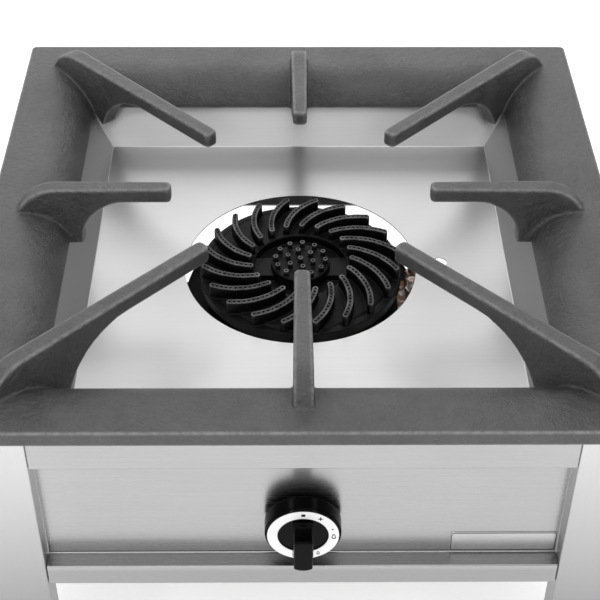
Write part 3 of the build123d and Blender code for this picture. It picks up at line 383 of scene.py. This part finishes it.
def heat_tinted(name):
    """Bracket steel scorched brown by the flame, bare and chalky in places."""
    metal = Shader(name, Metallic=0.6, Roughness=0.45)
    patch = metal.noise(SCORCH_PATCH, detail=5.0, roughness=0.65)
    grain = metal.noise(SCORCH_GRAIN, detail=4.0)
    scorched = metal.blend(metal.ramp(grain, *MOST), SCORCH_DARK, SCORCH_BROWN)
    metal.into("Base Color", metal.blend(metal.ramp(patch, 0.47, 0.6), scorched, SCORCH_CHALK))
    metal.into("Normal", metal.bump(grain, SCORCH_RELIEF, 0.5))
    return metal.material


def moulded(name, value, rough, specular=0.5, relief=PLASTIC_RELIEF):
    """Moulded black plastic with a faint surface waviness."""
    plastic = Shader(name, Metallic=0.0, Specular_IOR_Level=specular)
    grain = plastic.noise(PLASTIC_GRAIN, detail=3.0)
    wave = plastic.noise(PLASTIC_WAVE, detail=2.0)
    dark_wave = grey(value * PLASTIC_DARK_TONE)
    pale_wave = grey(value * PLASTIC_PALE_TONE)
    plastic.into("Base Color", plastic.blend(plastic.ramp(wave, *MOST), dark_wave, pale_wave))
    plastic.into("Roughness", plastic.ramp(grain, *MOST, rough * 0.85, rough * 1.2))
    plastic.into("Normal", plastic.bump(grain, relief, 0.4))
    return plastic.material


FINISH = {
    "cast_iron_dark": sand_cast("sand_cast_iron", value=0.027, rough=0.42, edge=0.24),
    "burner_iron": burner_black("burner_black_iron"),
    "stainless_tray": brushed_steel(
        "brushed_tray", value=0.50, rough=0.36, axis="x", contrast=0.9
    ),
    # The body sheet gets painted shade below the ledge and in the ledge's fold.
    "stainless_body": brushed_steel(
        "brushed_sheet", value=0.42, rough=0.26, axis="x", contrast=1.3,
        lower_shade=BODY_PAINTED_SHADE, crease=LEDGE_FOLD,
    ),
    "galvanised_steel": plain_metal("galvanised", grey(0.3), rough=0.5),
    "black_phenolic": moulded("black_phenolic", value=0.0008, rough=0.12, specular=0.06),
    "dial_white": plain_metal(
        "dial_silver_white", grey(0.93), rough=0.4, stain=0.06, metallic=0.0
    ),
    "brass": plain_metal("machined_brass", BRASS, rough=0.3),
    "turned_steel": plain_metal("turned_steel", grey(0.5), rough=0.32),
    "copper_tube": plain_metal("tinted_copper", COPPER, rough=0.35, stain=0.6),
    "zinc_screws": plain_metal("zinc_plate", grey(0.55), rough=0.35),
    "foot_plastic": moulded("foot_nylon", value=0.015, rough=0.5, relief=0.00005),
}
# The posts get painted shade, darker towards their bottom.
POST_STEEL = brushed_steel(
    "brushed_posts", value=0.58, rough=0.34, axis="z", contrast=0.8, lower_shade=POST_PAINTED_SHADE
)
SIDE_STEEL = brushed_steel("brushed_sides", value=0.46, rough=0.30, axis="y", contrast=1.5)
PLATE_STEEL = brushed_steel("brushed_plate", value=0.55, rough=0.26, axis="x")
TINTED = heat_tinted("heat_tinted_steel")
INK = moulded("printing_ink", value=0.004, rough=0.5, specular=0.2)
SPECIAL = {
    "name_plate": PLATE_STEEL,
    "left_panel": SIDE_STEEL,
    "right_panel": SIDE_STEEL,
    "front_left_post": POST_STEEL,
    "front_right_post": POST_STEEL,
    "back_left_post": POST_STEEL,
    "back_right_post": POST_STEEL,
    "pilot_bracket": TINTED,
    "pilot_bracket_screw": TINTED,
    "pilot_burner": TINTED,
    "thermocouple": TINTED,
}


def finish_node(node, material):
    """Gives a CAD node its material."""
    slots = NODES[node].data.materials
    if not slots:
        slots.append(material)
    for index in range(len(slots)):
        slots[index] = material


for node_name, slot_name in FINISH_OF.items():
    finish_node(node_name, SPECIAL.get(node_name, FINISH[slot_name]))


# ---- softened castings -----------------------------------------------------------------------
def softened(node, name, voxel, passes, body):
    """A piece with soft edges and filled corners, made from its CAD node and standing for it."""
    piece = bpy.data.objects.new(name, NODES[node].data.copy())
    bpy.context.scene.collection.objects.link(piece)
    remesh = piece.modifiers.new("voxels", "REMESH")
    remesh.mode = "VOXEL"
    remesh.voxel_size = voxel
    remesh.use_smooth_shade = True
    smooth = piece.modifiers.new("soften", "SMOOTH")
    smooth.factor = 0.5
    smooth.iterations = passes
    graph = bpy.context.evaluated_depsgraph_get()
    mesh = bpy.data.meshes.new_from_object(piece.evaluated_get(graph))
    piece.modifiers.clear()
    piece.data = mesh
    mesh.name = name
    mesh.materials.clear()
    mesh.materials.append(FINISH[FINISH_OF[node]])
    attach(piece, body)
    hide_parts(node)


for casting in CASTINGS:
    softened(*casting)


# ---- printed marks ---------------------------------------------------------------------------
def laid_out(shape, loops, origin, depth):
    """The vertices of flat loops that stand off a face by a depth, towards -Y."""
    rings = []
    for loop in loops:
        places = [origin + Vector((x, -depth, z)) for x, z in loop]
        rings.append([shape.verts.new(place) for place in places])
    return rings


def print_mesh(name, loops, origin):
    """A thin closed plate with one loop as its outline, or a band between two loops."""
    shape = bmesh.new()
    rings = [laid_out(shape, loops, origin, depth) for depth in (0.0, PRINT_DEPTH)]
    count = len(loops[0])
    for i in range(count):
        j = (i + 1) % count
        for back, front in zip(*rings):
            shape.faces.new((back[i], back[j], front[j], front[i]))
        if len(loops) == 2:
            for outer, inner in rings:
                shape.faces.new((outer[i], outer[j], inner[j], inner[i]))
    if len(loops) == 1:
        for ring in rings:
            shape.faces.new(ring[0])
    bmesh.ops.recalc_face_normals(shape, faces=shape.faces)
    mesh = bpy.data.meshes.new(name)
    shape.to_mesh(mesh)
    shape.free()
    return mesh


def printed(name, loops, origin, body):
    """A printed mark on a face that looks towards -Y."""
    mesh = print_mesh(name, loops, origin)
    mesh.materials.append(INK)
    piece = bpy.data.objects.new(name, mesh)
    bpy.context.scene.collection.objects.link(piece)
    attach(piece, body)


def rounded_loop(half_width, half_height, radius, steps=6):
    """The outline of a rounded rectangle."""
    points = []
    for turn, (side_x, side_z) in enumerate(((1, 1), (-1, 1), (-1, -1), (1, -1))):
        for step in range(steps + 1):
            angle = math.pi / 2 * (turn + step / steps)
            x = side_x * (half_width - radius) + radius * math.cos(angle)
            z = side_z * (half_height - radius) + radius * math.sin(angle)
            points.append((x, z))
    return points


def flame_loop(height, steps=13):
    """The outline of a small flame: round below, one leaning point above."""
    half = height * 0.3
    points = []
    for step in range(steps + 1):
        angle = math.radians(150 + step * 240 / steps)
        points.append((half * math.cos(angle), half * math.sin(angle) - height * 0.2))
    points.append((half * 0.55, height * 0.22))
    points.append((0.0, height * 0.5))
    points.append((-half * 0.75, height * 0.2))
    return points


def flame_band(height, hollow):
    """A flame's outline, and the smaller one that hollows it."""
    outer = flame_loop(height)
    inner = [(x * hollow, z * hollow - HOLLOW_DROP) for x, z in outer]
    return [outer, inner]


def spark_loop(reach):
    """A four-pointed spark."""
    points = []
    for step in range(8):
        angle = math.pi * step / 4
        away = reach if step % 2 == 0 else reach * 0.3
        points.append((away * math.cos(angle), away * math.sin(angle)))
    return points


def disc_loop(radius, steps=16):
    """A round dot."""
    angles = [math.tau * step / steps for step in range(steps)]
    return [(radius * math.cos(angle), radius * math.sin(angle)) for angle in angles]


def print_dial():
    """Off mark, spark, large and small flame, each at its clockwise angle round the ring."""
    face = (DIAL_LOW + DIAL_HIGH) / 2
    face.y = DIAL_LOW.y
    circle = (DIAL_HIGH.x - DIAL_LOW.x) / 2 - MARK_INSET
    marks = (
        ("mark_off", 0, [rounded_loop(OFF_HALF_WIDTH, OFF_HALF_HEIGHT, OFF_RADIUS)]),
        ("mark_spark", 34, [spark_loop(SPARK_REACH)]),
        ("mark_dot", 72, [disc_loop(DOT_RADIUS)]),
        ("mark_flame", 92, flame_band(FLAME_HEIGHT, FLAME_HOLLOW)),
        ("mark_low_flame", 150, flame_band(LOW_FLAME_HEIGHT, LOW_FLAME_HOLLOW)),
    )
    for name, clock, loops in marks:
        angle = math.radians(clock)
        at = face + Vector((circle * math.sin(angle), 0, circle * math.cos(angle)))
        printed(name, loops, at, "knob")


def print_plate():
    """A thin dark border just inside the edge of the blank name plate."""
    middle = (PLATE_LOW + PLATE_HIGH) / 2
    middle.y = PLATE_LOW.y
    half_width = (PLATE_HIGH.x - PLATE_LOW.x) / 2 - BORDER_INSET
    half_height = (PLATE_HIGH.z - PLATE_LOW.z) / 2 - BORDER_INSET
    inner_width = half_width - BORDER_WIDTH
    inner_height = half_height - BORDER_WIDTH
    outer = rounded_loop(half_width, half_height, BORDER_RADIUS)
    inner = rounded_loop(inner_width, inner_height, BORDER_RADIUS - BORDER_WIDTH)
    printed("name_plate_border", [outer, inner], middle, "body")


print_dial()
print_plate()


# ---- studio ----------------------------------------------------------------------------------
def studio_floor():
    """A large pale floor."""
    bpy.ops.mesh.primitive_grid_add(
        x_subdivisions=FLOOR_CELLS, y_subdivisions=FLOOR_CELLS, size=FLOOR_SIZE
    )
    floor = bpy.context.object
    floor.name = "studio_floor"
    paint = Shader("studio_white", Roughness=0.9, Emission_Strength=FLOOR_GLOW)
    shade = paint.blend(paint.noise(FLOOR_PATCH), grey(FLOOR_DARK), grey(FLOOR_PALE))
    paint.into("Base Color", shade)
    paint.into("Emission Color", shade)
    floor.data.materials.append(paint.material)


def softbox(name, at, target, width, height, radiance):
    """A soft rectangular light of an even brightness."""
    lamp = bpy.data.lights.new(name, "AREA")
    lamp.shape = "RECTANGLE"
    lamp.size = width
    lamp.size_y = height
    lamp.energy = radiance * math.pi * width * height
    holder = bpy.data.objects.new(name, lamp)
    bpy.context.scene.collection.objects.link(holder)
    holder.location = at
    holder.rotation_euler = (Vector(target) - Vector(at)).to_track_quat("-Z", "Y").to_euler()


def studio_world():
    """Even light from all round."""
    world = bpy.data.worlds.new("studio")
    bpy.context.scene.world = world
    world.use_nodes = True
    background = world.node_tree.nodes["Background"]
    background.inputs["Color"].default_value = (1.0, 1.0, 1.0, 1.0)
    background.inputs["Strength"].default_value = WORLD_GLOW


def photo_camera():
    """The camera at the measured viewing angle."""
    forward = Vector((
        math.sin(CAMERA_PAN) * math.cos(CAMERA_PITCH),
        math.cos(CAMERA_PAN) * math.cos(CAMERA_PITCH),
        -math.sin(CAMERA_PITCH),
    ))
    level = Vector((math.cos(CAMERA_PAN), -math.sin(CAMERA_PAN), 0.0))
    upright = level.cross(forward)
    right = math.cos(CAMERA_ROLL) * level + math.sin(CAMERA_ROLL) * upright
    up = math.cos(CAMERA_ROLL) * upright - math.sin(CAMERA_ROLL) * level
    data = bpy.data.cameras.new("photo_camera")
    data.lens = CAMERA_LENS
    camera = bpy.data.objects.new("photo_camera", data)
    bpy.context.scene.collection.objects.link(camera)
    turn = Matrix((right, up, -forward)).transposed().to_4x4()
    camera.matrix_world = Matrix.Translation(CAMERA_AT) @ turn
    bpy.context.scene.camera = camera


studio_floor()
for light in SOFTBOXES:
    softbox(*light)
studio_world()
photo_camera()
bpy.context.scene.view_settings.view_transform = "Standard"
